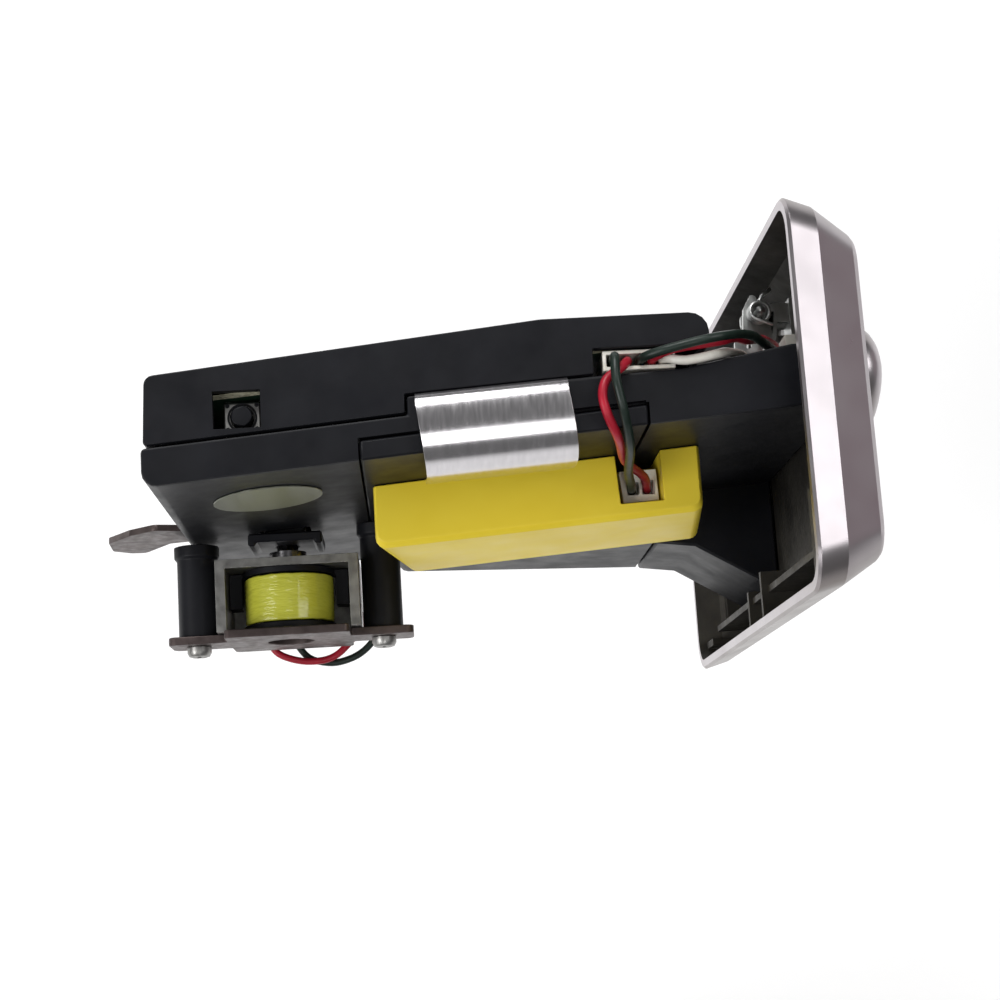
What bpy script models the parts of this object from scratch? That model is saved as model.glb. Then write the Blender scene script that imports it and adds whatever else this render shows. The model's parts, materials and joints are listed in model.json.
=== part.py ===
"""Electronic coin acceptor: zinc face plate, black plastic body, sensor box and sorting solenoid.

X runs across the face plate, Y from its front to the rear, and Z up along it.
The origin lies at the middle of the plate's top edge, in the plane of its rear rim.
Lengths below are in millimetres and are scaled to metres where a mesh is made.
"""

import math

import bmesh
import bpy
from mathutils import Matrix, Vector

MM = 0.001

# Face plate: open towards the rear, with a straight wall and a chamfer to a smaller front.
PLATE_W = 64.0
PLATE_H = 127.0
PLATE_CZ = -PLATE_H / 2
PLATE_D = 12.0
PLATE_WALL = 2.0
PLATE_STRAIGHT = 5.0
PLATE_INSET = 5.2
PLATE_DRAFT = 1.3
PLATE_R = 6.6

# Coin entry: an oval raised bezel with an upright slot.
SLOT_X = 6.2
SLOT_Z = -32.5
SLOT_W = 4.8
SLOT_H = 29.0
BEZEL_A = 10.8
BEZEL_B = 19.5
BEZEL_D = 4.8

# Return button beside the coin entry.
BUTTON_X = 19.2
BUTTON_Z = -50.0
BUTTON_R = 4.6

# Return pocket at the foot of the plate.
POCKET = (-19.0, 11.0, -111.0, -83.0)

# Body: a flat case that leans a little to the -X side towards the rear.
BODY_TOP = -14.0
BODY_FOOT = -112.0
BODY_REAR = 103.4
SIDE_0 = -0.4
SIDE_SLOPE = -0.0753
GAP = 0.3
THIN = 0.1

# Coin run inside the body, next to the sensor carrier.
RUN_IN = 3.6
RUN_OUT = 8.4
RUN_TOP = -18.0
RUN_FLOOR = -47.0
SHAFT = (30.0, 59.0)

# Sensor box on the carrier.
BOX_TOP = -35.0
BOX_FOOT = -66.5

# Solenoid on two posts.
SOL_Y = 84.4
SOL_Z = -70.5
POST_Y = (67.2, 101.4)
POST_R = 3.7
DECK_X = -25.6
DECK_T = 1.5
COIL_HOLES = ((66.9, -83.4), (65.7, -86.6))


def clear_scene():
    for obj in list(bpy.data.objects):
        bpy.data.objects.remove(obj, do_unlink=True)


def collection(name, hidden=False):
    made = bpy.data.collections.new(name)
    bpy.context.scene.collection.children.link(made)
    made.hide_render = hidden
    return made


clear_scene()
PARTS = collection("coin_acceptor")
CUTTERS = collection("cutters", hidden=True)


def material(name, colour, roughness=0.5, metallic=0.0):
    mat = bpy.data.materials.new(name)
    mat.use_nodes = True
    shader = mat.node_tree.nodes["Principled BSDF"]
    shader.inputs["Base Color"].default_value = (*colour, 1.0)
    shader.inputs["Roughness"].default_value = roughness
    shader.inputs["Metallic"].default_value = metallic
    mat.diffuse_color = (*colour, 1.0)
    return mat


def side(y):
    """X of the body's leaning -X face at depth y."""
    return SIDE_0 + SIDE_SLOPE * y


def mesh_object(name, verts, faces, mat=None, cutter=False, smooth=False):
    bm = bmesh.new()
    made = [bm.verts.new(Vector(v) * MM) for v in verts]
    for face in faces:
        bm.faces.new([made[i] for i in face])
    bmesh.ops.recalc_face_normals(bm, faces=bm.faces)
    return finish(name, bm, mat, cutter, smooth)


def finish(name, bm, mat=None, cutter=False, smooth=False):
    mesh = bpy.data.meshes.new(name)
    bm.to_mesh(mesh)
    bm.free()
    obj = bpy.data.objects.new(name, mesh)
    if cutter:
        CUTTERS.objects.link(obj)
        obj.hide_render = True
        obj.display_type = "WIRE"
        return obj
    PARTS.objects.link(obj)
    mesh.materials.append(mat)
    if smooth:
        for poly in mesh.polygons:
            poly.use_smooth = True
    return obj


def loft(name, rings, mat=None, cutter=False, smooth=False):
    """A closed solid through rings of equal length, capped at both ends."""
    count = len(rings[0])
    verts = [v for ring in rings for v in ring]
    faces = []
    for r in range(len(rings) - 1):
        a = r * count
        b = a + count
        for i in range(count):
            j = (i + 1) % count
            faces.append((a + i, a + j, b + j, b + i))
    faces.append(tuple(range(count)))
    last = (len(rings) - 1) * count
    faces.append(tuple(last + i for i in range(count)))
    return mesh_object(name, verts, faces, mat, cutter, smooth)


def place(axis, u, v, w):
    """A point from two coordinates in a section and one along the named axis."""
    if axis == "X":
        return (w, u, v)
    if axis == "Y":
        return (u, w, v)
    return (u, v, w)


def prism(name, outline, axis, low, high, mat=None, cutter=False):
    rings = [[place(axis, u, v, w) for u, v in outline] for w in (low, high)]
    return loft(name, rings, mat, cutter)


def box(name, x0, x1, y0, y1, z0, z1, mat=None, cutter=False):
    return prism(name, [(x0, y0), (x1, y0), (x1, y1), (x0, y1)], "Z", z0, z1, mat, cutter)


def circle(cu, cv, radius, count, start=0.0):
    step = 2 * math.pi / count
    return [(cu + radius * math.cos(start + i * step), cv + radius * math.sin(start + i * step))
            for i in range(count)]


def cylinder(name, axis, cu, cv, radius, low, high, mat=None, cutter=False, count=24):
    return lathe(name, axis, cu, cv, [(radius, low), (radius, high)], mat, cutter, count)


def lathe(name, axis, cu, cv, profile, mat=None, cutter=False, count=24):
    """A turned solid: profile is (radius, place along the axis)."""
    rings = [[place(axis, u, v, w) for u, v in circle(cu, cv, r, count)] for r, w in profile]
    return loft(name, rings, mat, cutter)


def rounded(points, radii, steps=4):
    """A polygon with each corner rounded by its own radius."""
    out = []
    count = len(points)
    for i, point in enumerate(points):
        radius = radii[i] if isinstance(radii, (list, tuple)) else radii
        here = Vector(point)
        back = Vector(points[i - 1]) - here
        ahead = Vector(points[(i + 1) % count]) - here
        if radius <= 0:
            out.append(tuple(here))
            continue
        half = back.angle(ahead) / 2
        reach = radius / math.tan(half)
        start = here + back.normalized() * reach
        end = here + ahead.normalized() * reach
        centre = here + (back.normalized() + ahead.normalized()).normalized() * radius / math.sin(half)
        first = start - centre
        turn = first.angle_signed(end - centre)
        for k in range(steps + 1):
            spin = Matrix.Rotation(-turn * k / steps, 2)
            out.append(tuple(centre + spin @ first))
    return out


def rectangle(u0, u1, v0, v1):
    return [(u0, v0), (u1, v0), (u1, v1), (u0, v1)]


def boolean(obj, other, operation="DIFFERENCE"):
    mod = obj.modifiers.new(other.name, "BOOLEAN")
    mod.operation = operation
    mod.solver = "EXACT"
    mod.object = other


def bevel(obj, width, segments=1, angle=40):
    mod = obj.modifiers.new("edge", "BEVEL")
    mod.width = width * MM
    mod.segments = segments
    mod.limit_method = "ANGLE"
    mod.angle_limit = math.radians(angle)
    mod.use_clamp_overlap = True


def smooth_by_angle(obj, degrees=35):
    """Shades the faces smooth and keeps the corners sharper than the given angle."""
    mesh = obj.data
    bm = bmesh.new()
    bm.from_mesh(mesh)
    for face in bm.faces:
        face.smooth = True
    for edge in bm.edges:
        edge.smooth = len(edge.link_faces) == 2 and edge.calc_face_angle(0.0) < math.radians(degrees)
    bm.to_mesh(mesh)
    bm.free()


def wire(name, points, radius, mat):
    """A wire with capped ends along a smoothed route."""
    path = smooth_path([Vector(p) for p in points], 4)
    curve = bpy.data.curves.new(name, "CURVE")
    curve.dimensions = "3D"
    curve.bevel_depth = radius * MM
    curve.bevel_resolution = 2
    curve.use_fill_caps = True
    spline = curve.splines.new("POLY")
    spline.points.add(len(path) - 1)
    for point, at in zip(spline.points, path):
        point.co = (*(at * MM), 1.0)
    curve.materials.append(mat)
    obj = bpy.data.objects.new(name, curve)
    PARTS.objects.link(obj)
    return obj


def smooth_path(points, steps):
    """Catmull-Rom points through the given ones."""
    ends = [points[0] * 2 - points[1]] + points + [points[-1] * 2 - points[-2]]
    out = []
    for i in range(1, len(ends) - 2):
        p0, p1, p2, p3 = ends[i - 1:i + 3]
        for k in range(steps):
            t = k / steps
            out.append(0.5 * ((2 * p1) + (p2 - p0) * t + (2 * p0 - 5 * p1 + 4 * p2 - p3) * t * t
                              + (3 * p1 - p0 - 3 * p2 + p3) * t ** 3))
    out.append(points[-1])
    return out


ZINC = material("zinc", (0.78, 0.76, 0.78), 0.32, 1.0)
BLACK = material("black_plastic", (0.018, 0.02, 0.023), 0.42)
STEEL = material("spring_steel", (0.75, 0.75, 0.76), 0.16, 1.0)
GREY_STEEL = material("plated_steel", (0.45, 0.45, 0.45), 0.4, 1.0)
BROWN_STEEL = material("brown_steel", (0.22, 0.18, 0.16), 0.45, 0.8)
YELLOW = material("yellow_plastic", (0.86, 0.70, 0.08), 0.4)
COIL_TAPE = material("coil_tape", (0.62, 0.62, 0.06), 0.25)
NYLON = material("white_nylon", (0.80, 0.77, 0.70), 0.5)
SILVER_FOIL = material("silver_foil", (0.42, 0.43, 0.38), 0.35, 0.5)
BOARD = material("board", (0.03, 0.16, 0.06), 0.5)
RED = material("red_wire", (0.5, 0.01, 0.03), 0.45)
DARK = material("dark_wire", (0.015, 0.03, 0.02), 0.45)
WHITE = material("white_wire", (0.8, 0.77, 0.7), 0.45)


# ---------------------------------------------------------------- face plate

def plate_ring(inset, y, radius, steps=7):
    half_w = PLATE_W / 2 - inset
    z_top = -inset
    z_low = -PLATE_H + inset
    outline = rounded(rectangle(-half_w, half_w, z_low, z_top), radius, steps)
    return [(u, y, v) for u, v in outline]


def face_plate():
    """Die-cast plate: outer wall, chamfer, front, then back up the inside to the rim."""
    rings = [
        plate_ring(6.9, -PLATE_D + 1.9, 2.6),
        plate_ring(3.4, -PLATE_STRAIGHT, 4.2),
        plate_ring(PLATE_WALL, 0.0, 4.8),
        plate_ring(0.5, 0.0, PLATE_R - 0.4),
        plate_ring(0.05, -0.5, PLATE_R),
        plate_ring(PLATE_DRAFT, -PLATE_STRAIGHT, PLATE_R),
        plate_ring(PLATE_INSET, -PLATE_D + 0.8, 5.4),
        plate_ring(PLATE_INSET + 0.9, -PLATE_D, 4.8),
    ]
    plate = loft("face_plate", rings, ZINC)
    smooth_by_angle(plate, 30)
    within = loft("plate_inside", [plate_ring(7.0, -PLATE_D + 1.0, 3.2),
                                   plate_ring(2.5, -PLATE_STRAIGHT, 5.0),
                                   plate_ring(1.2, -0.4, 5.4), plate_ring(1.2, 0.4, 5.4)], None, True)
    floor = -PLATE_D + 0.9
    ribs = [
        box("land", -30.2, -15.0, floor, -1.2, -9.5, -1.4, None, True),
        box("long_rib", -24.4, -23.2, floor, -3.2, -118.0, -8.0, None, True),
        box("cross_rib_a", -30.6, -20.5, floor, -2.0, -60.0, -58.6, None, True),
        box("cross_rib_b", -30.6, -22.0, floor, -2.4, -76.0, -74.6, None, True),
        box("foot_rib", -27.4, -26.0, floor, -1.6, -126.4, -116.0, None, True),
        box("sill", -22.0, 22.0, floor, -6.0, -126.0, -120.0, None, True),
        box("bracket_pad", 16.9, 30.0, floor, -8.6, -44.0, -37.4, None, True),
    ]
    for rib in ribs:
        boolean(rib, within, "INTERSECT")
    for rib in ribs:
        boolean(plate, rib, "UNION")
    slot = prism("slot_hole", rounded(rectangle(SLOT_X - 3.7, SLOT_X + 3.7, SLOT_Z - 16.2, SLOT_Z + 16.2),
                                      1.0, 2),
                 "Y", -20, -4, None, True)
    hole = cylinder("button_hole", "Y", BUTTON_X, BUTTON_Z, BUTTON_R + 0.35, -20, -4, None, True, 28)
    pocket = prism("pocket_hole", rounded(rectangle(*POCKET), 1.5, 2), "Y", -20, -4, None, True)
    for cutter in (slot, hole, pocket):
        boolean(plate, cutter)
    return plate


def slot_bezel():
    """Oval dome round the coin slot, with a sleeve through the plate."""
    def oval(a, b, y):
        return [(SLOT_X + a * math.cos(t), y, SLOT_Z + b * math.sin(t))
                for t in [2 * math.pi * i / 36 for i in range(36)]]
    base = -PLATE_D - THIN
    rings = [oval(BEZEL_A, BEZEL_B, base), oval(BEZEL_A, BEZEL_B, base - 1.2)]
    for k in range(1, 6):
        t = k / 5 * math.pi / 2.4
        rings.append(oval(BEZEL_A - 4.6 * (1 - math.cos(t)), BEZEL_B - 4.6 * (1 - math.cos(t)),
                          base - 1.2 - (BEZEL_D - 1.2) * math.sin(t) / math.sin(math.pi / 2.4)))
    bezel = loft("slot_bezel", rings, ZINC)
    smooth_by_angle(bezel, 40)
    sleeve = prism("sleeve", rectangle(SLOT_X - 3.4, SLOT_X + 3.4, SLOT_Z - 15.9, SLOT_Z + 15.9),
                   "Y", base - 1.5, -10.3, None, True)
    boolean(bezel, sleeve, "UNION")
    slot = prism("bezel_slot", rounded(rectangle(SLOT_X - SLOT_W / 2, SLOT_X + SLOT_W / 2,
                                                 SLOT_Z - SLOT_H / 2, SLOT_Z + SLOT_H / 2), 1.2, 2),
                 "Y", -30, -4, None, True)
    boolean(bezel, slot)
    return bezel


def return_button():
    """Push button with a collar behind the plate and a stem to the return lever."""
    floor = -PLATE_D + 1.9
    profile = [(BUTTON_R - 0.9, -17.0), (BUTTON_R - 0.25, -16.7), (BUTTON_R, -16.0),
               (BUTTON_R, floor + 0.2),
               (BUTTON_R + 1.1, floor + 0.2), (BUTTON_R + 1.1, floor + 1.2), (2.2, floor + 1.2),
               (2.2, -5.6)]
    button = lathe("return_button", "Y", BUTTON_X, BUTTON_Z, profile, GREY_STEEL, count=28)
    smooth_by_angle(button, 40)
    return button


# ---------------------------------------------------------------- return lever in the plate

LEVER_X = 22.0
LEVER_Y = -1.6


def lever_bracket():
    """Stamped bracket: a foot on the pad, and a plain and a forked ear that carry the lever's pin."""
    foot = box("lever_bracket", 17.2, 24.9, -8.3, -7.3, -43.7, -37.7, GREY_STEEL)
    lower = prism("lower_ear", rounded([(20.7, -7.9), (24.7, -7.9), (23.6, 0.6), (20.7, 0.6)],
                                       [0, 0, 1.0, 1.0], 3),
                  "Z", -43.5, -42.5, None, True)
    fork = [(14.0, -1.0), (17.0, -2.7), (17.3, -4.5), (20.7, -5.1), (20.7, -7.9), (24.0, -7.9),
            (24.2, -4.6),
            (23.4, -2.3), (25.6, -1.5), (25.9, -0.7), (23.3, 0.8), (18.9, 1.2), (17.4, 2.8), (15.2, 2.9)]
    upper = prism("upper_ear", rounded(fork, [0.5, 0.4, 0.5, 0, 0, 0, 0.6, 0, 0.5, 0.4, 0.4, 0, 0.4, 0.6],
                                       3),
                  "Z", -39.0, -38.0, None, True)
    for ear in (lower, upper):
        boolean(foot, ear, "UNION")
    window = prism("ear_window", [(18.4, -4.0), (22.6, -4.6), (22.7, -3.3)], "Z", -39.6, -37.4, None,
                   True)
    boolean(foot, window)
    boolean(foot, cylinder("ear_hole", "Z", 16.6, 0.4, 0.55, -39.6, -37.4, None, True, 14))
    boolean(foot, cylinder("pin_bore", "Z", LEVER_X, LEVER_Y, 0.9, -50, -30, None, True, 16))
    return foot


def lever_pin():
    return cylinder("lever_pin", "Z", LEVER_X, LEVER_Y, 0.8, -44.3, -34.6, STEEL, count=16)


def return_lever():
    """Bent steel lever on the pin: one arm over the button's stem, one towards the body."""
    hub = cylinder("return_lever", "Z", LEVER_X, LEVER_Y, 1.7, -42.1, -39.4, GREY_STEEL, count=20)
    arm = prism("lever_arm", [(21.4, -0.6), (21.4, -2.2), (12.0, -0.4), (11.4, 3.0), (12.4, 3.2),
                              (13.2, 0.8)],
                "Z", -41.9, -39.6, None, True)
    web = prism("lever_web", [(22.0, -0.4), (22.0, -3.0), (17.2, -5.3), (16.6, -4.5), (20.4, -1.2)],
                "Z", -41.9, -39.5, None, True)
    push = prism("lever_push", [(19.9, -5.3), (19.9, -4.5), (16.8, -4.5), (16.8, -5.3)], "Z", -52.4,
                 -39.7, None, True)
    for piece in (arm, web, push):
        boolean(hub, piece, "UNION")
    boolean(hub, cylinder("hub_bore", "Z", LEVER_X, LEVER_Y, 0.86, -50, -30, None, True, 16))
    return hub


def torsion_spring():
    """Wound spring round the lever's pin, above the forked ear, with a tail at each end."""
    turns = 2.5
    count = 40
    coil_low = -37.4
    pitch = 2.3
    route = [(26.6, -4.2, coil_low), (25.4, -2.6, coil_low)]
    for i in range(count + 1):
        t = 2 * math.pi * turns * i / count
        route.append((LEVER_X + 1.75 * math.cos(t), LEVER_Y + 1.75 * math.sin(t),
                      coil_low + pitch * i / count))
    route.append((19.4, -3.6, coil_low + pitch))
    curve = bpy.data.curves.new("torsion_spring", "CURVE")
    curve.dimensions = "3D"
    curve.bevel_depth = 0.35 * MM
    curve.bevel_resolution = 1
    curve.use_fill_caps = True
    spline = curve.splines.new("POLY")
    spline.points.add(len(route) - 1)
    for point, at in zip(spline.points, route):
        point.co = (*(Vector(at) * MM), 1.0)
    curve.materials.append(STEEL)
    obj = bpy.data.objects.new("torsion_spring", curve)
    PARTS.objects.link(obj)
    return obj


def slot_lamp():
    """Small lamp holder behind the plate, between the coin entry and the button."""
    holder = box("slot_lamp", 12.6, 16.4, -10.0, -4.6, -40.0, -31.0, WHITE)
    boolean(holder, lathe("lamp_dome", "Z", 14.5, -7.3, [(1.5, -39.0), (1.5, -42.6), (0.8, -43.6)],
                          None, True, 16), "UNION")
    return holder


# ---------------------------------------------------------------- return pocket

def return_flap():
    x0, x1, z0, z1 = POCKET
    flap = box("return_flap", x0 + 0.5, x1 - 0.5, -11.7, -10.5, z0 + 0.5, z1 - 1.6, BLACK)
    boolean(flap, cylinder("flap_barrel", "X", -11.1, z1 - 1.6, 1.1, x0 + 0.5, x1 - 0.5, None, True, 16),
            "UNION")
    boolean(flap, box("flap_lip", x0 + 4, x1 - 4, -12.9, -11.0, z0 + 0.8, z0 + 2.0, None, True), "UNION")
    return flap


def return_chute():
    """Funnel from the foot of the body to the return pocket, open at both ends."""
    outer = [(-10.6, 13.6), (-11.6, 6.0), (-21.2, -9.8), (12.6, -9.8), (9.6, 13.6)]
    inner = [(-8.8, 14.6), (-8.8, 13.6), (-9.8, 6.0), (-19.2, -11.0), (10.8, -11.0), (8.0, 13.6),
             (8.0, 14.6)]
    chute = prism("return_chute", outer, "Z", -112.6, -80.6, BLACK)
    boolean(chute, prism("chute_way", inner, "Z", -110.8, -82.4, None, True))
    bevel(chute, 0.35)
    return chute


# ---------------------------------------------------------------- body

def body_shell():
    """Main case with the neck to the plate, the coin run and the seats for cover and carrier."""
    outline = rounded(
        [(side(-9.9), -9.9), (10.2, -9.9), (10.2, -2.0), (7.0, 16.0), (6.4, 30.2), (4.6, 60.9),
         (1.5, 60.9),
         (-1.8, BODY_REAR), (side(BODY_REAR), BODY_REAR)],
        [0.6, 0.6, 0, 0, 0, 0, 0, 0.8, 2.4], 4)
    body = prism("body_shell", outline, "Z", BODY_FOOT, BODY_TOP, BLACK)
    bevel(body, 0.5, 2, 60)
    block = prism("foot_block", rounded([(-10.4, 14.2), (5.0, 14.2), (3.0, 59.0), (0.4, 61.0),
                                         (0.3, 64.0), (-8.6, 64.0)],
                                        [0, 0, 0, 0, 0, 2], 3),
                  "Z", BODY_FOOT, -79.5, None, True)
    boolean(body, block, "UNION")
    under = box("neck_under", -12, 14, -12, 13.9, -130, -80.2, None, True)
    boolean(body, under)
    carrier = prism("carrier_seat", [(side(22.0) - 3, 22.0), (side(22.0) + 3.7, 22.0),
                                     (side(69.0) + 3.7, 69.0),
                                     (side(69.0) - 3, 69.0)], "Z", -68.4, 0, None, True)
    boolean(body, carrier)
    run = prism("coin_run", [(side(-12) + RUN_IN, -12), (side(-12) + RUN_OUT, -12),
                             (side(SHAFT[1]) + RUN_OUT, SHAFT[1]), (side(SHAFT[1]) + RUN_IN, SHAFT[1])],
                "Z", RUN_FLOOR, RUN_TOP, None, True)
    boolean(body, run)
    shaft = prism("drop_shaft", [(side(SHAFT[0]) + RUN_IN, SHAFT[0]), (side(SHAFT[0]) + RUN_OUT,
                                                                       SHAFT[0]),
                                 (side(SHAFT[1]) + RUN_OUT, SHAFT[1]),
                                 (side(SHAFT[1]) + RUN_IN, SHAFT[1])],
                  "Z", -120, -30, None, True)
    boolean(body, shaft)
    back = prism("return_way", [(-8.8, 12.0), (6.0, 12.0), (5.5, 31.0), (-3.0, 31.0), (-8.8, 24.0)], "Z",
                 -110.4, -83.0,
                 None, True)
    boolean(body, back)
    groove = prism("cover_groove", [(side(34.6) + 3.2, 36.0), (side(34.6) + 4.0, 36.0),
                                    (side(22.5) + 4.0, 22.5),
                                    (side(22.5) + 3.2, 22.5)], "Z", -15.4, 0, None, True)
    boolean(body, groove)
    slot = box("arm_slot", -12, -3.4, 79.8, 89.0, SOL_Z - 5.0, SOL_Z + 5.0, None, True)
    boolean(body, slot)
    for y, z in COIL_HOLES:
        boolean(body, cylinder("wire_hole%d" % -z, "X", y, z, 1.2, -9.0, -3.2, None, True, 16))
    rear = box("lever_slot", -6.7, -4.9, 92.0, 120, -92.0, -52.0, None, True)
    boolean(body, rear)
    return body


def tilt(obj, y, z, lift=0.0):
    """Sets an object built about the X axis on the leaning side face at (y, z)."""
    obj.matrix_world = (Matrix.Translation(Vector((side(y) - lift, y, z)) * MM)
                        @ Matrix.Rotation(-math.atan(SIDE_SLOPE), 4, "Z"))


def foil_disc():
    disc = cylinder("foil_disc", "X", 0, 0, 9.2, -0.25, 0.0, SILVER_FOIL, count=40)
    tilt(disc, 85.0, -34.0, 0.08)
    return disc


def sensor_carrier():
    """Strip that closes the coin run and holds the sensor box."""
    y0 = 22.3
    y1 = 68.7
    outline = [(side(y0), y0), (side(y0) + 3.3, y0), (side(y1) + 3.3, y1), (side(y1), y1)]
    carrier = prism("sensor_carrier", outline, "Z", -68.1, BODY_TOP, BLACK)
    bevel(carrier, 0.3)
    return carrier


def board_cover():
    """Deep cover of the circuit board, open towards the body, with the switch window in its top."""
    outline = rounded(
        [(-1.4, 103.0), (10.0, 102.6), (16.3, 38.7), (16.3, 11.3), (10.9, 11.3), (10.9, 30.5),
         (6.7, 30.5),
         (4.95, 61.2), (1.85, 61.2)],
        [0.6, 1.6, 8.0, 3.2, 0.4, 0.3, 0, 0, 0], 4)
    cover = prism("board_cover", outline, "Z", -98.0, BODY_TOP, BLACK)
    bevel(cover, 0.5, 2, 60)
    inner = [(-6, 101.3), (8.2, 101.3), (14.7, 38.7), (14.7, 12.9), (-6, 12.9)]
    boolean(cover, prism("cover_hollow", inner, "Z", -96.4, BODY_TOP - 1.6, None, True))
    boolean(cover, box("switch_window", 0.7, 6.9, 84.2, 91.8, -20, 0, None, True))
    return cover


def main_board():
    def at(y):
        return 12.95 + SIDE_SLOPE * y
    y0 = 17.0
    y1 = 98.5
    outline = [(at(y0), y0), (at(y0) + 1.6, y0), (at(y1) + 1.6, y1), (at(y1), y1)]
    return prism("main_board", outline, "Z", -92.0, -16.4, BOARD)


def tact_switch():
    """Square metal-topped switch that faces up through the window."""
    x = 3.15
    y = 87.4
    body = box("tact_switch", x - 2.4, x + 2.6, y - 3.0, y + 3.0, -22.0, -17.4, GREY_STEEL)
    bevel(body, 0.25)
    boolean(body, cylinder("button_bore", "Z", x, y, 1.95, -19.4, -10, None, True, 20))
    return body


def tact_button():
    profile = [(1.75, -18.9), (1.75, -16.1), (1.55, -15.8)]
    button = lathe("tact_button", "Z", 3.15, 87.4, profile, BLACK, count=20)
    smooth_by_angle(button, 40)
    return button


def wire_header():
    """White header at the front of the board, open upwards, with its pins inside."""
    header = box("wire_header", 7.3, 10.6, 17.1, 28.9, -25.0, -14.8, NYLON)
    boolean(header, box("header_open", 7.95, 9.95, 17.7, 28.3, -21.0, -10, None, True))
    boolean(header, box("header_key", 6.0, 8.6, 26.2, 27.4, -18.6, -10, None, True))
    return header


# ---------------------------------------------------------------- sensor box

def sensor_box():
    """Potted sensor: rounded box with a notch for its plug and a sloping lower rear corner."""
    rings = []
    for z, y0, y1, grow in ((BOX_TOP, 11.6, 67.0, -0.9), (BOX_TOP - 0.9, 11.1, 67.3, 0.0),
                            (BOX_FOOT + 0.9, 7.7, 62.0, 0.0), (BOX_FOOT, 8.2, 61.5, -0.9)):
        outer = [(side(y0) - 0.15, y0), (side(y1) - 0.15, y1), (-16.4 + (67.3 - y1) * 0.066 - grow, y1),
                 (-12.7 - (y0 - 11.1) * 0.066 - grow, y0)]
        rings.append([(u, v, z) for u, v in rounded(outer, [0.2, 0.2, 1.8, 1.8], 4)])
    block = loft("sensor_box", rings, YELLOW)
    smooth_by_angle(block, 50)
    notch = prism("plug_notch", [(0, 18.0), (0, 25.9), (-10.9, 25.3), (-10.6, 17.8)], "Z", -50.0, -30.0,
                  None, True)
    boolean(block, notch)
    return block


def sensor_plug():
    """Two-way plug in the notch of the sensor box."""
    plug = prism("sensor_plug", [(-4.4, 18.4), (-4.6, 24.9), (-10.2, 24.4), (-9.9, 18.2)], "Z", -46.0,
                 -38.6, NYLON)
    boolean(plug, box("plug_way_a", -8.8, -6.6, 21.6, 23.6, -41.6, -30, None, True))
    boolean(plug, box("plug_way_b", -8.8, -6.3, 19.0, 21.0, -41.6, -30, None, True))
    return plug


# ---------------------------------------------------------------- spring clip

CLIP_Y = (35.0, 59.6)


def spring_clip():
    """Polished spring band over the top edge, from the cover's seam to the carrier's side."""
    centre = [(5.2, -13.75), (4.4, -12.2), (2.4, -11.5), (-0.4, -11.4), (-3.0, -12.0), (-5.0, -13.4),
              (-6.3, -15.8),
              (-6.9, -19.0), (-6.8, -22.6), (-6.3, -27.0)]
    path = smooth_path([Vector((u, v, 0)) for u, v in centre], 3)
    thick = 0.35
    left = []
    right = []
    for i, point in enumerate(path):
        ahead = path[min(i + 1, len(path) - 1)] - path[max(i - 1, 0)]
        normal = Vector((-ahead.y, ahead.x, 0)).normalized() * thick
        left.append(point + normal)
        right.append(point - normal)
    section = left + right[::-1]
    rings = []
    for y in CLIP_Y:
        lean = -0.058 * (y - 47.0)
        rings.append([(p.x + lean, y + 0.13 * (p.x - 3.0) if p.x < 3.0 else y, p.y) for p in section])
    clip = loft("spring_clip", rings, STEEL)
    smooth_by_angle(clip, 50)
    return clip


# ---------------------------------------------------------------- solenoid group

def post(name, y):
    """Moulded spacer between the case and the solenoid's deck."""
    base = side(y) - 0.42
    profile = [(POST_R + 0.5, base), (POST_R + 0.5, base - 2.0), (POST_R, base - 2.6),
               (POST_R, DECK_X + THIN)]
    made = lathe(name, "X", y, SOL_Z, profile, BLACK, count=24)
    boolean(made, cylinder(name + "_bore", "X", y, SOL_Z, 1.35, DECK_X - 1, DECK_X + 12, None, True, 16))
    smooth_by_angle(made, 40)
    return made


def solenoid_deck():
    """Steel plate on the posts: a taller middle and two ears."""
    y0, y1 = 73.2, 95.8
    top, foot = SOL_Z + 11.4, SOL_Z - 12.0
    up, down = SOL_Z + 4.8, SOL_Z - 4.8
    e0, e1 = POST_Y[0] - 5.6, POST_Y[1] + 5.2
    outline = [(e0, up), (y0, up), (y0, top), (y1, top), (y1, up), (e1, up), (e1, down), (y1, down),
               (y1, foot),
               (y0, foot), (y0, down), (e0, down)]
    radii = [1.5, 0.5, 1.0, 1.0, 0.5, 1.5, 1.5, 0.5, 1.0, 1.0, 0.5, 1.5]
    deck = prism("solenoid_deck", rounded(outline, radii, 3), "X", DECK_X - DECK_T, DECK_X, BROWN_STEEL)
    for y in POST_Y:
        boolean(deck, cylinder("deck_hole%d" % y, "X", y, SOL_Z, 1.6, -40, -10, None, True, 16))
    boolean(deck, cylinder("deck_eye", "X", SOL_Y, SOL_Z, 4.3, -40, -10, None, True, 24))
    return deck


def deck_screw(name, y):
    """Cross-head screw through the deck into a post."""
    face = DECK_X - DECK_T - THIN
    profile = [(1.2, DECK_X + 9.0), (1.2, face), (2.25, face), (2.25, face - 1.0), (1.9, face - 1.7),
               (1.1, face - 1.9)]
    screw = lathe(name, "X", y, SOL_Z, profile, STEEL, count=20)
    for k, (dy, dz) in enumerate(((0.3, 1.35), (1.35, 0.3))):
        boolean(screw, box("%s_cross%d" % (name, k), face - 3, face - 1.0, y - dy, y + dy,
                           SOL_Z - dz, SOL_Z + dz, None, True))
    smooth_by_angle(screw, 40)
    return screw


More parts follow.
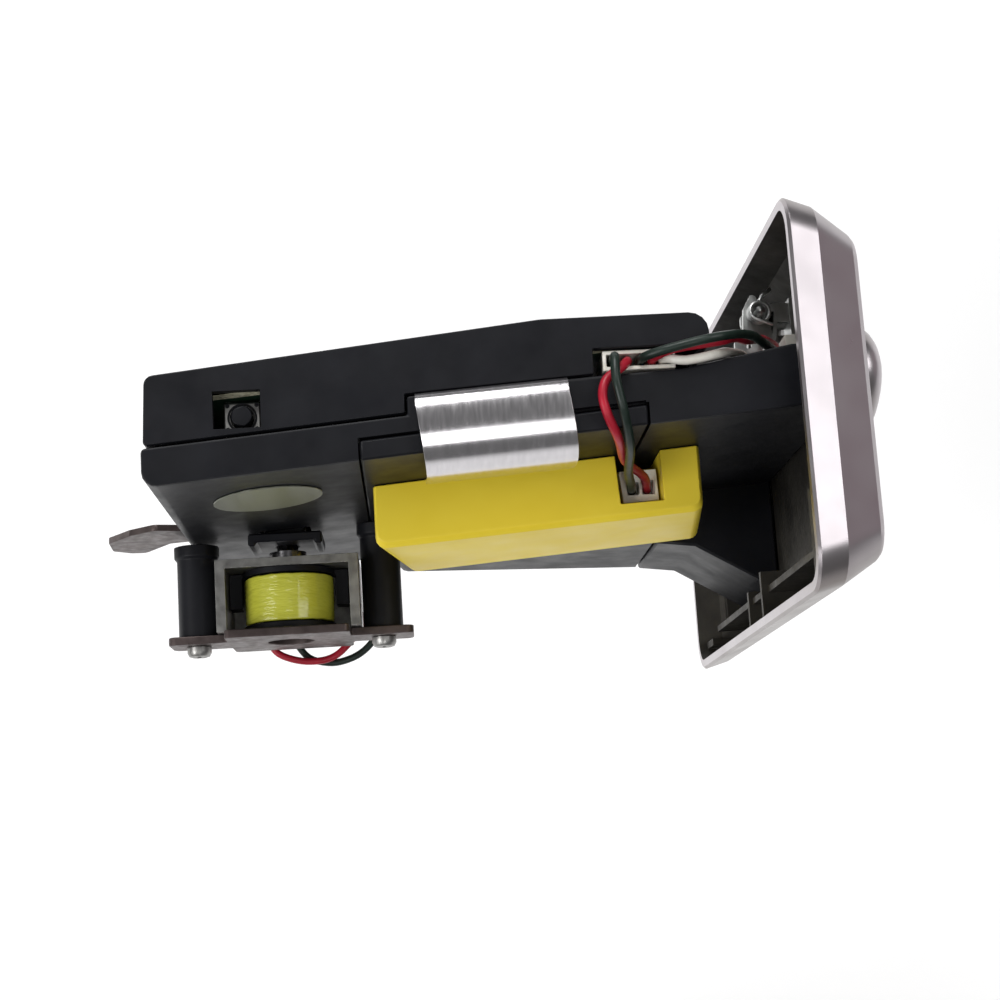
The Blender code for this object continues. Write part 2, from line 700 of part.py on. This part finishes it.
def solenoid_yoke():
    """U-shaped iron frame with its open side against the deck, and a wall behind the coil."""
    y0, y1 = 71.2, 97.4
    outline = [(DECK_X + THIN, y0), (-12.2, y0), (-12.2, y1), (DECK_X + THIN, y1),
               (DECK_X + THIN, y1 - 1.8),
               (-13.8, y1 - 1.8), (-13.8, y0 + 1.8), (DECK_X + THIN, y0 + 1.8)]
    yoke = prism("solenoid_yoke", outline, "Z", SOL_Z - 10.0, SOL_Z + 7.6, GREY_STEEL)
    wall = box("yoke_wall", DECK_X + THIN, -12.8, y0 + 0.6, y1 - 0.6, SOL_Z - 10.0, SOL_Z - 8.8, None, True)
    boolean(yoke, wall, "UNION")
    for x, y in ((-21.0, 89.7), (-18.9, 86.0)):
        boolean(yoke, cylinder("lead_hole", "Z", x, y, 1.7, SOL_Z - 12, SOL_Z - 8.4, None, True, 16))
    boolean(yoke, cylinder("yoke_hole", "X", SOL_Y, SOL_Z, 4.2, -18, -8, None, True, 24))
    return yoke


def bobbin():
    profile = [(5.0, -14.0), (8.6, -14.0), (8.6, -15.0), (5.0, -15.0), (5.0, -24.2), (8.6, -24.2),
               (8.6, -25.3),
               (5.0, -25.3)]
    made = lathe("bobbin", "X", SOL_Y, SOL_Z, profile, BLACK, count=28)
    for way in (-1, 1):
        lug = [(-14.1, 7.2), (-14.1, 11.0), (-20.6, 11.0), (-20.6, 8.7), (-14.9, 8.7), (-14.9, 7.2)]
        block = prism("bobbin_lug", [(x, SOL_Y + way * y) for x, y in lug], "Z", SOL_Z - 3.6, SOL_Z + 0.8,
                      None, True)
        boolean(made, block, "UNION")
    boolean(made, cylinder("bobbin_bore", "X", SOL_Y, SOL_Z, 3.95, -40, -5, None, True, 24))
    return made


def coil():
    """Taped winding between the bobbin's flanges."""
    profile = [(8.1, -23.9), (8.3, -23.6), (8.3, -15.6), (8.1, -15.3)]
    made = lathe("coil", "X", SOL_Y, SOL_Z, profile, COIL_TAPE, count=36)
    boolean(made, cylinder("coil_bore", "X", SOL_Y, SOL_Z, 5.1, -40, -5, None, True, 28))
    smooth_by_angle(made, 40)
    return made


def plunger():
    """Iron core that slides in the bobbin and carries the gate arm."""
    profile = [(3.2, -23.0), (3.5, -22.7), (3.5, -10.4), (2.0, -10.4), (2.0, -7.6)]
    made = lathe("plunger", "X", SOL_Y, SOL_Z, profile, STEEL, count=24)
    smooth_by_angle(made, 40)
    return made


def gate_arm():
    """Plastic fork on the plunger's end; its tongue reaches through the case to the coin shaft."""
    arm = box("gate_arm", -9.2, -7.6, 77.6, 91.2, SOL_Z - 6.0, SOL_Z + 7.2, BLACK)
    boolean(arm, box("arm_wing_a", -9.9, -8.0, 77.6, 79.0, SOL_Z - 4.0, SOL_Z + 7.2, None, True), "UNION")
    boolean(arm, box("arm_wing_b", -9.9, -8.0, 89.8, 91.2, SOL_Z - 4.0, SOL_Z + 7.2, None, True), "UNION")
    boolean(arm, box("arm_tongue", -8.0, -4.4, 80.8, 88.0, SOL_Z - 4.0, SOL_Z + 4.0, None, True), "UNION")
    boolean(arm, cylinder("arm_bore", "X", SOL_Y, SOL_Z, 2.15, -14, -6.4, None, True, 20))
    bevel(arm, 0.3)
    return arm


def rear_lever():
    """Steel release tab at the rear, on a pin in the case."""
    outline = rounded([(95.0, -66.0), (108.0, -61.5), (113.1, -65.7), (118.0, -72.6), (118.6, -81.4),
                       (115.6, -84.6),
                       (112.8, -85.2), (106.8, -76.0), (95.0, -72.6)],
                       [2.5, 1.5, 1.5, 1.6, 1.6, 1.0, 1.5, 0, 2.5], 3)
    lever = prism("rear_lever", outline, "X", -6.4, -5.2, BROWN_STEEL)
    boolean(lever, cylinder("rear_bore", "X", 98.4, -69.2, 1.3, -12, 0, None, True, 16))
    return lever


def rear_pin():
    return cylinder("rear_pin", "X", 98.4, -69.2, 1.2, -6.6, -5.0, STEEL, count=16)


# ---------------------------------------------------------------- wires

WIRE_R = 0.78
COIL_WIRE_R = 0.7


def wires():
    wire("sensor_wire_red", [(8.95, 24.7, -18.6), (8.8, 24.9, -15.0), (7.2, 26.2, -12.7),
                             (5.2, 28.8, -11.7),
                             (2.4, 29.7, -11.4), (-0.8, 29.0, -12.0), (-3.9, 27.2, -15.4),
                             (-5.2, 25.0, -27.0),
                             (-6.6, 21.2, -34.0), (-7.7, 20.0, -40.6)], WIRE_R, RED)
    wire("sensor_wire_dark", [(8.95, 27.2, -18.6), (9.0, 27.2, -14.4), (8.4, 27.4, -10.6),
                              (5.0, 27.6, -9.5),
                              (2.2, 27.2, -9.6), (-1.2, 26.4, -11.0), (-5.0, 25.2, -17.0),
                              (-7.0, 24.6, -27.0),
                              (-8.1, 23.4, -34.0), (-7.7, 22.6, -40.6)], WIRE_R, DARK)
    wire("lamp_wire_black", [(8.95, 22.4, -18.6), (8.95, 22.4, -13.6), (9.7, 17.6, -10.9),
                             (11.0, 10.4, -10.7),
                             (12.4, 4.6, -15.6), (12.5, 0.2, -23.4), (13.4, -3.7, -33.0)], WIRE_R, DARK)
    wire("lamp_wire_red", [(8.95, 20.6, -18.6), (9.0, 20.6, -14.2), (9.9, 17.2, -12.6),
                           (10.7, 10.4, -12.8),
                           (12.0, 7.0, -15.6), (12.9, 4.0, -20.8), (15.0, 0.0, -28.4),
                           (15.6, -3.7, -35.4)], WIRE_R, RED)
    wire("lamp_wire_white", [(8.95, 18.8, -18.6), (8.9, 18.8, -14.8), (7.9, 15.6, -12.8),
                             (8.7, 10.8, -13.1),
                             (9.9, 8.2, -16.6), (10.8, 5.0, -22.0), (11.4, 1.6, -30.0),
                             (13.4, -3.7, -38.2)], WIRE_R, WHITE)
    wire("coil_wire_red", [(-20.6, 89.6, -79.7), (-22.8, 89.9, -82.8), (-25.4, 89.4, -84.5),
                           (-27.6, 87.8, -84.8),
                           (-29.0, 84.4, -84.8), (-29.4, 81.0, -84.8), (-28.9, 77.8, -84.8),
                           (-27.2, 75.2, -84.8),
                           (-23.6, 72.2, -84.6), (-17.6, 69.4, -84.2), (-11.0, 67.6, -83.6),
                           (-6.6, 67.0, COIL_HOLES[0][1]), (-3.7, 66.9, COIL_HOLES[0][1])], COIL_WIRE_R,
                           RED)
    wire("coil_wire_black", [(-18.4, 86.0, -79.7), (-21.4, 86.0, -83.2), (-25.2, 84.6, -86.2),
                             (-28.4, 82.2, -86.8),
                             (-29.6, 78.6, -86.8), (-29.4, 75.4, -86.8), (-28.0, 72.0, -86.8),
                             (-25.2, 69.2, -86.7),
                             (-20.0, 66.9, -86.6), (-13.0, 65.9, -86.6), (-8.0, 65.7, COIL_HOLES[1][1]),
                             (-3.7, 65.7, COIL_HOLES[1][1])], COIL_WIRE_R, DARK)


def build():
    face_plate()
    slot_bezel()
    return_button()
    lever_bracket()
    lever_pin()
    return_lever()
    torsion_spring()
    slot_lamp()
    return_flap()
    return_chute()
    body_shell()
    foil_disc()
    sensor_carrier()
    board_cover()
    main_board()
    tact_switch()
    tact_button()
    wire_header()
    sensor_box()
    sensor_plug()
    spring_clip()
    post("post_front", POST_Y[0])
    post("post_rear", POST_Y[1])
    solenoid_deck()
    deck_screw("deck_screw_front", POST_Y[0])
    deck_screw("deck_screw_rear", POST_Y[1])
    solenoid_yoke()
    bobbin()
    coil()
    plunger()
    gate_arm()
    rear_lever()
    rear_pin()
    wires()


build()
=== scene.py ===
"""Looks of the coin acceptor: finishes, fine detail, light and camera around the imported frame."""

import json
import math

import bmesh
import bpy
from mathutils import Matrix, Vector


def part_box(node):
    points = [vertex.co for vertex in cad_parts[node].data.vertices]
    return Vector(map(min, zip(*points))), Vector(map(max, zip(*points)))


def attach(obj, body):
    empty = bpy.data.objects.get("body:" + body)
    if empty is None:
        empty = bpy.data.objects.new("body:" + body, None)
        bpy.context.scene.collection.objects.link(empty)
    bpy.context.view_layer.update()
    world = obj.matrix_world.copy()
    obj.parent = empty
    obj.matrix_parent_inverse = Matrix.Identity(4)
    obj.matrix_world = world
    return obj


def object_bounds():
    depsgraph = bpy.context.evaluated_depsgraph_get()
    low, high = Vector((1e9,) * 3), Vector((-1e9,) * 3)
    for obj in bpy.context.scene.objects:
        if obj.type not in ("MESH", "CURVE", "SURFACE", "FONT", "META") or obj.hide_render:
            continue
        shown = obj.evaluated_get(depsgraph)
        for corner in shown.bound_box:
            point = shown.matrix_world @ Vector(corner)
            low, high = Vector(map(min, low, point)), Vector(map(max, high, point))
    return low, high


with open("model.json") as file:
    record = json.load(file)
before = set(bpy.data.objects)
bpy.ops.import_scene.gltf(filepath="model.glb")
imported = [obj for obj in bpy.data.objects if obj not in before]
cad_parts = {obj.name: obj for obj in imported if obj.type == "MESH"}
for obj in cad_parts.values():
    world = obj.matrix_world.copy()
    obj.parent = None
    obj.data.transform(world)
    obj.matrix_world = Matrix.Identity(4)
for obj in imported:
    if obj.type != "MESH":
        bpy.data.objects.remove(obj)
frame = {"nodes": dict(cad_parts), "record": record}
CAD_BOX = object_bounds()
NODES = frame["nodes"]
MM = 0.001
ROOT = "acceptor"
PLATE_MIDDLE = -63.5

# ---------------------------------------------------------------- camera

CAMERA_AT = Vector((-68.60, 62.09, 276.57)) * MM
CAMERA_LOOK = Vector((0.18720, -0.05105, -0.98099))
CAMERA_UP = Vector((0.98039, -0.05295, 0.18984))
CAMERA_LENS = 67.23


def camera():
    data = bpy.data.cameras.new("camera")
    data.lens = CAMERA_LENS
    data.sensor_width = 36
    data.clip_start = 0.01
    data.clip_end = 20
    made = bpy.data.objects.new("camera", data)
    bpy.context.scene.collection.objects.link(made)
    back = -CAMERA_LOOK.normalized()
    right = CAMERA_UP.cross(back).normalized()
    up = back.cross(right)
    turn = Matrix((right, up, back)).transposed()
    made.matrix_world = Matrix.Translation(CAMERA_AT) @ turn.to_4x4()
    bpy.context.scene.camera = made


# ---------------------------------------------------------------- materials

class Finish:
    """A material's node tree with short calls for the nodes used here."""

    def __init__(self, name, colour, roughness, metallic=0.0, specular=0.5, coat=0.0):
        self.mat = bpy.data.materials.new(name)
        self.mat.use_nodes = True
        self.tree = self.mat.node_tree
        self.shader = self.tree.nodes["Principled BSDF"]
        self.shader.inputs["Base Color"].default_value = (*colour, 1.0)
        self.shader.inputs["Roughness"].default_value = roughness
        self.shader.inputs["Metallic"].default_value = metallic
        self.shader.inputs["Specular IOR Level"].default_value = specular
        self.shader.inputs["Coat Weight"].default_value = coat
        self.place = self.tree.nodes.new("ShaderNodeTexCoord").outputs["Object"]
        self.normal = None

    def stretched(self, scale):
        """Object coordinates stretched along the axes, for a brushed or streaked grain."""
        node = self.tree.nodes.new("ShaderNodeMapping")
        node.inputs["Scale"].default_value = scale
        self.tree.links.new(self.place, node.inputs["Vector"])
        return node.outputs["Vector"]

    def noise(self, scale, detail=3.0, roughness=0.55, vector=None):
        node = self.tree.nodes.new("ShaderNodeTexNoise")
        node.inputs["Scale"].default_value = scale
        node.inputs["Detail"].default_value = detail
        node.inputs["Roughness"].default_value = roughness
        self.tree.links.new(vector or self.place, node.inputs["Vector"])
        return node.outputs["Fac"]

    def spread(self, value, low, high, start=0.3, end=0.7):
        """Maps a 0 to 1 pattern onto low to high."""
        node = self.tree.nodes.new("ShaderNodeMapRange")
        node.inputs["From Min"].default_value = start
        node.inputs["From Max"].default_value = end
        node.inputs["To Min"].default_value = low
        node.inputs["To Max"].default_value = high
        self.tree.links.new(value, node.inputs["Value"])
        return node.outputs["Result"]

    def ramp(self, value, stops):
        node = self.tree.nodes.new("ShaderNodeValToRGB")
        ramp = node.color_ramp
        while len(ramp.elements) < len(stops):
            ramp.elements.new(0.5)
        for element, (at, colour) in zip(ramp.elements, stops):
            element.position = at
            element.color = (*colour, 1.0)
        self.tree.links.new(value, node.inputs["Fac"])
        return node.outputs["Color"]

    def facing_sideways(self, start, end):
        """0 where the surface faces up, down, front or back, rising to 1 where it faces along X."""
        split = self.tree.nodes.new("ShaderNodeSeparateXYZ")
        self.tree.links.new(self.place.node.outputs["Normal"], split.inputs["Vector"])
        size = self.tree.nodes.new("ShaderNodeMath")
        size.operation = "ABSOLUTE"
        self.tree.links.new(split.outputs["X"], size.inputs[0])
        return self.spread(size.outputs["Value"], 0.0, 1.0, start, end)

    def mix(self, factor, first, second):
        node = self.tree.nodes.new("ShaderNodeMixRGB")
        self.tree.links.new(factor, node.inputs["Fac"])
        self.tree.links.new(first, node.inputs["Color1"])
        self.tree.links.new(second, node.inputs["Color2"])
        return node.outputs["Color"]

    def colour(self, socket):
        self.tree.links.new(socket, self.shader.inputs["Base Color"])

    def roughness(self, socket):
        self.tree.links.new(socket, self.shader.inputs["Roughness"])

    def bump(self, value, height, strength=1.0):
        """Adds relief of that height in metres on top of what is there."""
        node = self.tree.nodes.new("ShaderNodeBump")
        node.inputs["Distance"].default_value = height
        node.inputs["Strength"].default_value = strength
        self.tree.links.new(value, node.inputs["Height"])
        if self.normal is not None:
            self.tree.links.new(self.normal, node.inputs["Normal"])
        self.normal = node.outputs["Normal"]
        self.tree.links.new(self.normal, self.shader.inputs["Normal"])


def zinc():
    f = Finish("zinc", (0.5, 0.46, 0.48), 0.3, 1.0)
    cloud = f.noise(24, 3)
    # faces along X get a darker colour as painted shade, and the faint pink of the other faces is a painted
    # reflection
    ends_painted_pink = f.ramp(cloud, [(0.3, (0.45, 0.41, 0.43)), (0.7, (0.53, 0.50, 0.515))])
    painted_shade_sides = f.ramp(cloud, [(0.3, (0.20, 0.178, 0.170)), (0.7, (0.25, 0.224, 0.214))])
    f.colour(f.mix(f.facing_sideways(0.3, 0.85), ends_painted_pink, painted_shade_sides))
    f.roughness(f.spread(f.noise(90, 3), 0.27, 0.36))
    f.bump(f.noise(2600, 2), 0.00002, 0.2)
    f.bump(f.noise(40, 2), 0.00005, 0.12)
    return f.mat


def dark_casting():
    """The plate's inner faces: bare casting, dull and dark."""
    f = Finish("dark_casting", (0.1, 0.095, 0.09), 0.55, 0.8)
    cloud = f.noise(70, 4)
    f.colour(f.ramp(cloud, [(0.3, (0.036, 0.033, 0.030)), (0.7, (0.085, 0.079, 0.068))]))
    f.roughness(f.spread(f.noise(300, 3), 0.46, 0.66))
    f.bump(f.noise(1500, 3), 0.00004, 0.4)
    return f.mat


def black_plastic():
    f = Finish("black_plastic", (0.01, 0.0105, 0.013), 0.45, specular=0.18)
    f.colour(f.ramp(f.noise(90, 4), [(0.3, (0.0055, 0.0058, 0.0076)), (0.7, (0.0095, 0.0099, 0.013))]))
    f.roughness(f.spread(f.noise(140, 3), 0.38, 0.52))
    f.bump(f.noise(3400, 2), 0.00003, 0.35)
    return f.mat


def polished_steel():
    f = Finish("polished_steel", (0.74, 0.72, 0.74), 0.2, 1.0)
    grain = f.noise(260, 2, vector=f.stretched((1, 6, 1)))
    f.colour(f.ramp(grain, [(0.3, (0.66, 0.64, 0.66)), (0.7, (0.74, 0.72, 0.74))]))
    f.roughness(f.spread(grain, 0.17, 0.24))
    f.bump(f.noise(45, 2), 0.00012, 0.35)
    return f.mat


def plated_steel():
    f = Finish("plated_steel", (0.4, 0.4, 0.4), 0.4, 1.0)
    f.colour(f.ramp(f.noise(400, 4), [(0.3, (0.27, 0.265, 0.255)), (0.7, (0.44, 0.435, 0.42))]))
    f.roughness(f.spread(f.noise(700, 3), 0.32, 0.5))
    f.bump(f.noise(1800, 2), 0.00002, 0.3)
    return f.mat


def nickel():
    f = Finish("nickel", (0.6, 0.61, 0.6), 0.34, 1.0)
    f.colour(f.ramp(f.noise(300, 4), [(0.3, (0.50, 0.51, 0.50)), (0.7, (0.68, 0.69, 0.68))]))
    f.roughness(f.spread(f.noise(600, 3), 0.28, 0.46))
    f.bump(f.noise(1800, 2), 0.00002, 0.3)
    return f.mat


def brown_steel():
    f = Finish("brown_steel", (0.2, 0.16, 0.15), 0.45, 0.7)
    f.colour(f.ramp(f.noise(220, 5), [(0.3, (0.06, 0.045, 0.043)), (0.7, (0.115, 0.09, 0.086))]))
    f.roughness(f.spread(f.noise(500, 3), 0.36, 0.56))
    f.bump(f.noise(1200, 3), 0.00003, 0.3)
    return f.mat


def yellow_plastic():
    f = Finish("yellow_plastic", (0.85, 0.62, 0.04), 0.45, specular=0.3)
    f.colour(f.ramp(f.noise(55, 3), [(0.3, (0.88, 0.66, 0.035)), (0.7, (0.94, 0.73, 0.055))]))
    f.roughness(f.spread(f.noise(120, 3), 0.40, 0.54))
    f.bump(f.noise(1500, 2), 0.00002, 0.3)
    return f.mat


def coil_tape():
    f = Finish("coil_tape", (0.6, 0.6, 0.06), 0.16, coat=0.7)
    f.colour(f.ramp(f.noise(60, 2), [(0.3, (0.52, 0.53, 0.035)), (0.7, (0.74, 0.74, 0.10))]))
    f.roughness(f.spread(f.noise(300, 2), 0.10, 0.24))
    f.bump(f.noise(330, 2, vector=f.stretched((4.0, 1, 1))), 0.00035, 0.7)
    return f.mat


def nylon():
    f = Finish("nylon", (0.8, 0.77, 0.7), 0.5)
    f.shader.inputs["Subsurface Weight"].default_value = 0.15
    f.shader.inputs["Subsurface Radius"].default_value = (0.001, 0.0008, 0.0006)
    f.colour(f.ramp(f.noise(300, 2), [(0.3, (0.74, 0.70, 0.62)), (0.7, (0.84, 0.81, 0.74))]))
    f.roughness(f.spread(f.noise(500, 2), 0.4, 0.58))
    f.bump(f.noise(2500, 2), 0.00002, 0.3)
    return f.mat


def silver_foil():
    f = Finish("silver_foil", (0.42, 0.43, 0.38), 0.5, 0.3)
    grain = f.noise(500, 3, vector=f.stretched((1, 1, 0.15)))
    f.colour(f.ramp(grain, [(0.3, (0.16, 0.165, 0.13)), (0.7, (0.22, 0.225, 0.185))]))
    f.roughness(f.spread(grain, 0.34, 0.5))
    f.bump(grain, 0.00002, 0.3)
    return f.mat


def board_mask():
    f = Finish("board_mask", (0.03, 0.16, 0.06), 0.35)
    f.colour(f.ramp(f.noise(200, 3), [(0.35, (0.010, 0.028, 0.016)), (0.65, (0.016, 0.045, 0.024))]))
    f.roughness(f.spread(f.noise(400, 2), 0.28, 0.42))
    f.bump(f.noise(900, 2), 0.00003, 0.3)
    return f.mat


def laminate():
    """Bare glass and resin, as on a circuit board's cut edge."""
    f = Finish("laminate", (0.5, 0.48, 0.34), 0.6)
    f.colour(f.ramp(f.noise(900, 3), [(0.3, (0.44, 0.42, 0.29)), (0.7, (0.58, 0.56, 0.42))]))
    f.roughness(f.spread(f.noise(700, 2), 0.5, 0.7))
    f.bump(f.noise(2400, 2), 0.00003, 0.4)
    return f.mat


def vinyl(name, low, high):
    f = Finish(name, high, 0.4, specular=0.35)
    f.colour(f.ramp(f.noise(350, 3), [(0.3, low), (0.7, high)]))
    f.roughness(f.spread(f.noise(600, 2), 0.30, 0.46))
    f.bump(f.noise(2200, 2), 0.00002, 0.25)
    return f.mat


FINISHES = {
    "zinc": zinc(),
    "plate_inside": dark_casting(),
    "black_plastic": black_plastic(),
    "spring_steel": polished_steel(),
    "plated_steel": plated_steel(),
    "nickel": nickel(),
    "brown_steel": brown_steel(),
    "yellow_plastic": yellow_plastic(),
    "coil_tape": coil_tape(),
    "white_nylon": nylon(),
    "silver_foil": silver_foil(),
    "board": board_mask(),
    "laminate": laminate(),
    "red_wire": vinyl("red_vinyl", (0.30, 0.008, 0.02), (0.46, 0.014, 0.035)),
    "dark_wire": vinyl("dark_vinyl", (0.008, 0.016, 0.012), (0.016, 0.028, 0.022)),
    "white_wire": vinyl("white_vinyl", (0.68, 0.65, 0.58), (0.82, 0.80, 0.74)),
}


# ---------------------------------------------------------------- CAD nodes that stay

WELD_WITHIN = 0.000002
FLAT_WITHIN = 0.4
BEVEL_ANGLE = 35
CREASE_ANGLE = 15


def soften(obj, width=0.0, segments=3, angle=BEVEL_ANGLE):
    """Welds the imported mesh, joins its flat facets, rounds its edges and shades it smoothly."""
    weld = obj.modifiers.new("weld", "WELD")
    weld.merge_threshold = WELD_WITHIN
    if width:
        flat = obj.modifiers.new("flat", "DECIMATE")
        flat.decimate_type = "DISSOLVE"
        flat.angle_limit = math.radians(FLAT_WITHIN)
        flat.delimit = {"MATERIAL"}
        bevel = obj.modifiers.new("edges", "BEVEL")
        bevel.width = width * MM
        bevel.segments = segments
        bevel.limit_method = "ANGLE"
        bevel.angle_limit = math.radians(angle)
        bevel.use_clamp_overlap = True
        bevel.miter_outer = "MITER_ARC"
        bevel.harden_normals = True
    for poly in obj.data.polygons:
        poly.use_smooth = True
    obj.data.update()
    weight = obj.modifiers.new("normals", "WEIGHTED_NORMAL")
    weight.keep_sharp = True


OTHER_LOOKS = {
    "lever_bracket": "nickel", "torsion_spring": "nickel", "lever_pin": "nickel",
    "deck_screw_front": "plated_steel", "deck_screw_rear": "plated_steel",
}


def finish_nodes():
    """Gives each node its slot's finish, the plate a dark inside and the board a bare edge."""
    slots = {row["node"]: row["material_slot"] for row in frame["record"]["subparts"]}
    for name, obj in NODES.items():
        obj.data.materials.clear()
        look = OTHER_LOOKS.get(name, slots[name])
        obj.data.materials.append(FINISHES[look])
    plate = NODES["face_plate"]
    plate.data.materials.append(FINISHES["plate_inside"])
    for poly in plate.data.polygons:
        poly.material_index = int(inside_plate(poly))

    board = NODES["main_board"]
    board.data.materials.append(FINISHES["laminate"])
    for poly in board.data.polygons:
        poly.material_index = int(abs(poly.normal.x) < 0.5)


def inside_plate(poly):
    """Whether a face of the plate belongs to its hollow rear side."""
    x, y, z = (v / MM for v in poly.center)
    off_x, off_z = x, z - PLATE_MIDDLE
    if y > -0.45:
        return False
    if abs(off_x) < 29.5 + 0.45 * y and abs(off_z) < 61.0 + 0.45 * y and y > -10.2:
        return True
    return poly.normal.y > 0.5 or poly.normal.x * off_x + poly.normal.z * off_z < -3.0


EDGES = {
    "face_plate": 0.45, "slot_bezel": 0.25, "return_button": 0.2, "lever_bracket": 0.12, "return_lever": 0.12,
    "slot_lamp": 0.2, "return_flap": 0.2, "return_chute": 0.3, "body_shell": 0.3, "sensor_carrier": 0.25,
    "board_cover": 0.35, "main_board": 0.0, "tact_switch": 0.15, "wire_header": 0.15, "sensor_box": 1.1,
    "sensor_plug": 0.15, "spring_clip": 0.08, "post_front": 0.15, "post_rear": 0.15, "solenoid_deck": 0.2,
    "deck_screw_front": 0.12, "deck_screw_rear": 0.12, "solenoid_yoke": 0.2, "bobbin": 0.15, "gate_arm": 0.2,
    "rear_lever": 0.2,
}


# ---------------------------------------------------------------- fine detail

def piece(name, bm, finish, body=ROOT):
    """A mesh of small detail that rides with a body."""
    mesh = bpy.data.meshes.new(name)
    bm.to_mesh(mesh)
    bm.free()
    mesh.materials.append(FINISHES[finish])
    made = bpy.data.objects.new(name, mesh)
    bpy.context.scene.collection.objects.link(made)
    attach(made, body)
    return made


def add_disc(bm, centre, radius, height, count=20):
    """A short closed cylinder that stands on centre, along Z."""
    made = bmesh.ops.create_cone(bm, cap_ends=True, segments=count, radius1=radius * MM,
                                 radius2=radius * MM, depth=height * MM)["verts"]
    lift = Vector((0, 0, height * MM / 2))
    bmesh.ops.translate(bm, vec=centre + lift, verts=made)


HOLE_SHADE_REACH = 0.39  # share of the lid's length from its middle to a disc of painted hole shade
SUNK = 0.02  # depth of the detail's foot in the lid, so that no gap shows under it


def switch_detail():
    """Four dark discs at the corners of the switch's metal lid, painted shade where the lid has holes, and a
    dark ring round its button.
    """
    low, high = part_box("tact_switch")
    middle = (Vector(low) + Vector(high)) / 2
    knob_low, knob_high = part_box("tact_button")
    knob = (Vector(knob_low) + Vector(knob_high)) / 2
    lid = high[2] - SUNK * MM
    bm = bmesh.new()
    # the four corner discs are painted shade for the holes in the lid
    for sx in (-1, 1):
        for sy in (-1, 1):
            reach = Vector((sx * (high[0] - low[0]), sy * (high[1] - low[1]), 0)) * HOLE_SHADE_REACH
            add_disc(bm, Vector((middle.x, middle.y, lid)) + reach, 0.36, 0.1, 14)
    piece("tact_hole_shade", bm, "black_plastic")
    bm = bmesh.new()
    ring(bm, Vector((knob.x, knob.y, lid)), 2.05, 2.4, 0.12)
    piece("tact_dark_ring", bm, "black_plastic")


def ring(bm, centre, inner, outer, height, count=32):
    """A flat closed ring standing on centre, along Z."""
    rows = []
    for radius, z in ((inner, 0.0), (outer, 0.0), (outer, height), (inner, height)):
        row = []
        for i in range(count):
            t = 2 * math.pi * i / count
            row.append(bm.verts.new(centre + Vector((radius * math.cos(t), radius * math.sin(t), z)) * MM))
        rows.append(row)
    for a, b in zip(rows, rows[1:] + rows[:1]):
        for i in range(count):
            j = (i + 1) % count
            bm.faces.new((a[i], a[j], b[j], b[i]))
    bmesh.ops.recalc_face_normals(bm, faces=bm.faces)


# ---------------------------------------------------------------- light and floor

def area_light(name, at, target, size, energy, colour=(1, 1, 1)):
    data = bpy.data.lights.new(name, "AREA")
    data.shape = "RECTANGLE"
    data.size, data.size_y = size
    data.energy = energy
    data.color = colour
    lamp = bpy.data.objects.new(name, data)
    lamp.location = at
    lamp.rotation_mode = "QUATERNION"
    lamp.rotation_quaternion = (Vector(target) - Vector(at)).to_track_quat("-Z", "Y")
    bpy.context.scene.collection.objects.link(lamp)


def studio():
    """A large soft key in front, softer light behind and above, and a low pink one for the horizon."""
    world = bpy.data.worlds.new("studio")
    world.use_nodes = True
    world.node_tree.nodes["Background"].inputs["Color"].default_value = (1.0, 1.0, 1.0, 1.0)
    world.node_tree.nodes["Background"].inputs["Strength"].default_value = 0.16
    bpy.context.scene.world = world
    centre = Vector((0.0, 0.045, -0.06))
    key_side = Vector((0.235, -0.58, 0.78))
    area_light("key", centre + key_side * 1.5, centre, (1.0, 0.7), 6.2)
    area_light("back", centre + Vector((-0.35, 0.85, 0.75)) * 1.1, centre, (0.7, 0.7), 8.5)
    area_light("strip", centre + Vector((-0.42, -0.05, 0.9)) * 1.1, centre, (0.2, 0.5), 1.5)
    area_light("top", centre + Vector((0.75, 0.2, 0.62)) * 1.3, centre, (0.6, 0.6), 11.0)
    low = centre + Vector((0.23, -0.955, 0.2)) * 1.5
    area_light("low", low, centre, (1.2, 0.5), 0.3, (1.0, 0.62, 0.74))


def floor():
    """A pale floor that gives off a little light of its own."""
    mesh = bpy.data.meshes.new("floor")
    half = 3.0
    z = CAD_BOX[0].z - 0.12
    corners = [(-half, -half, z), (half, -half, z), (half, half, z), (-half, half, z)]
    mesh.from_pydata(corners, [], [(0, 1, 2, 3)])
    made = bpy.data.objects.new("floor", mesh)
    bpy.context.scene.collection.objects.link(made)
    f = Finish("floor_paint", (0.9, 0.9, 0.9), 0.8)
    f.colour(f.ramp(f.noise(4, 2), [(0.3, (0.88, 0.88, 0.88)), (0.7, (0.92, 0.92, 0.92))]))
    f.shader.inputs["Emission Color"].default_value = (1.0, 1.0, 1.0, 1.0)
    f.shader.inputs["Emission Strength"].default_value = 0.16
    mesh.materials.append(f.mat)


def main():
    bpy.context.scene.view_settings.view_transform = "Standard"
    camera()
    finish_nodes()
    for name, obj in NODES.items():
        soften(obj, EDGES.get(name, 0.0), angle=CREASE_ANGLE if name == "face_plate" else BEVEL_ANGLE)
    switch_detail()
    studio()
    floor()


main()
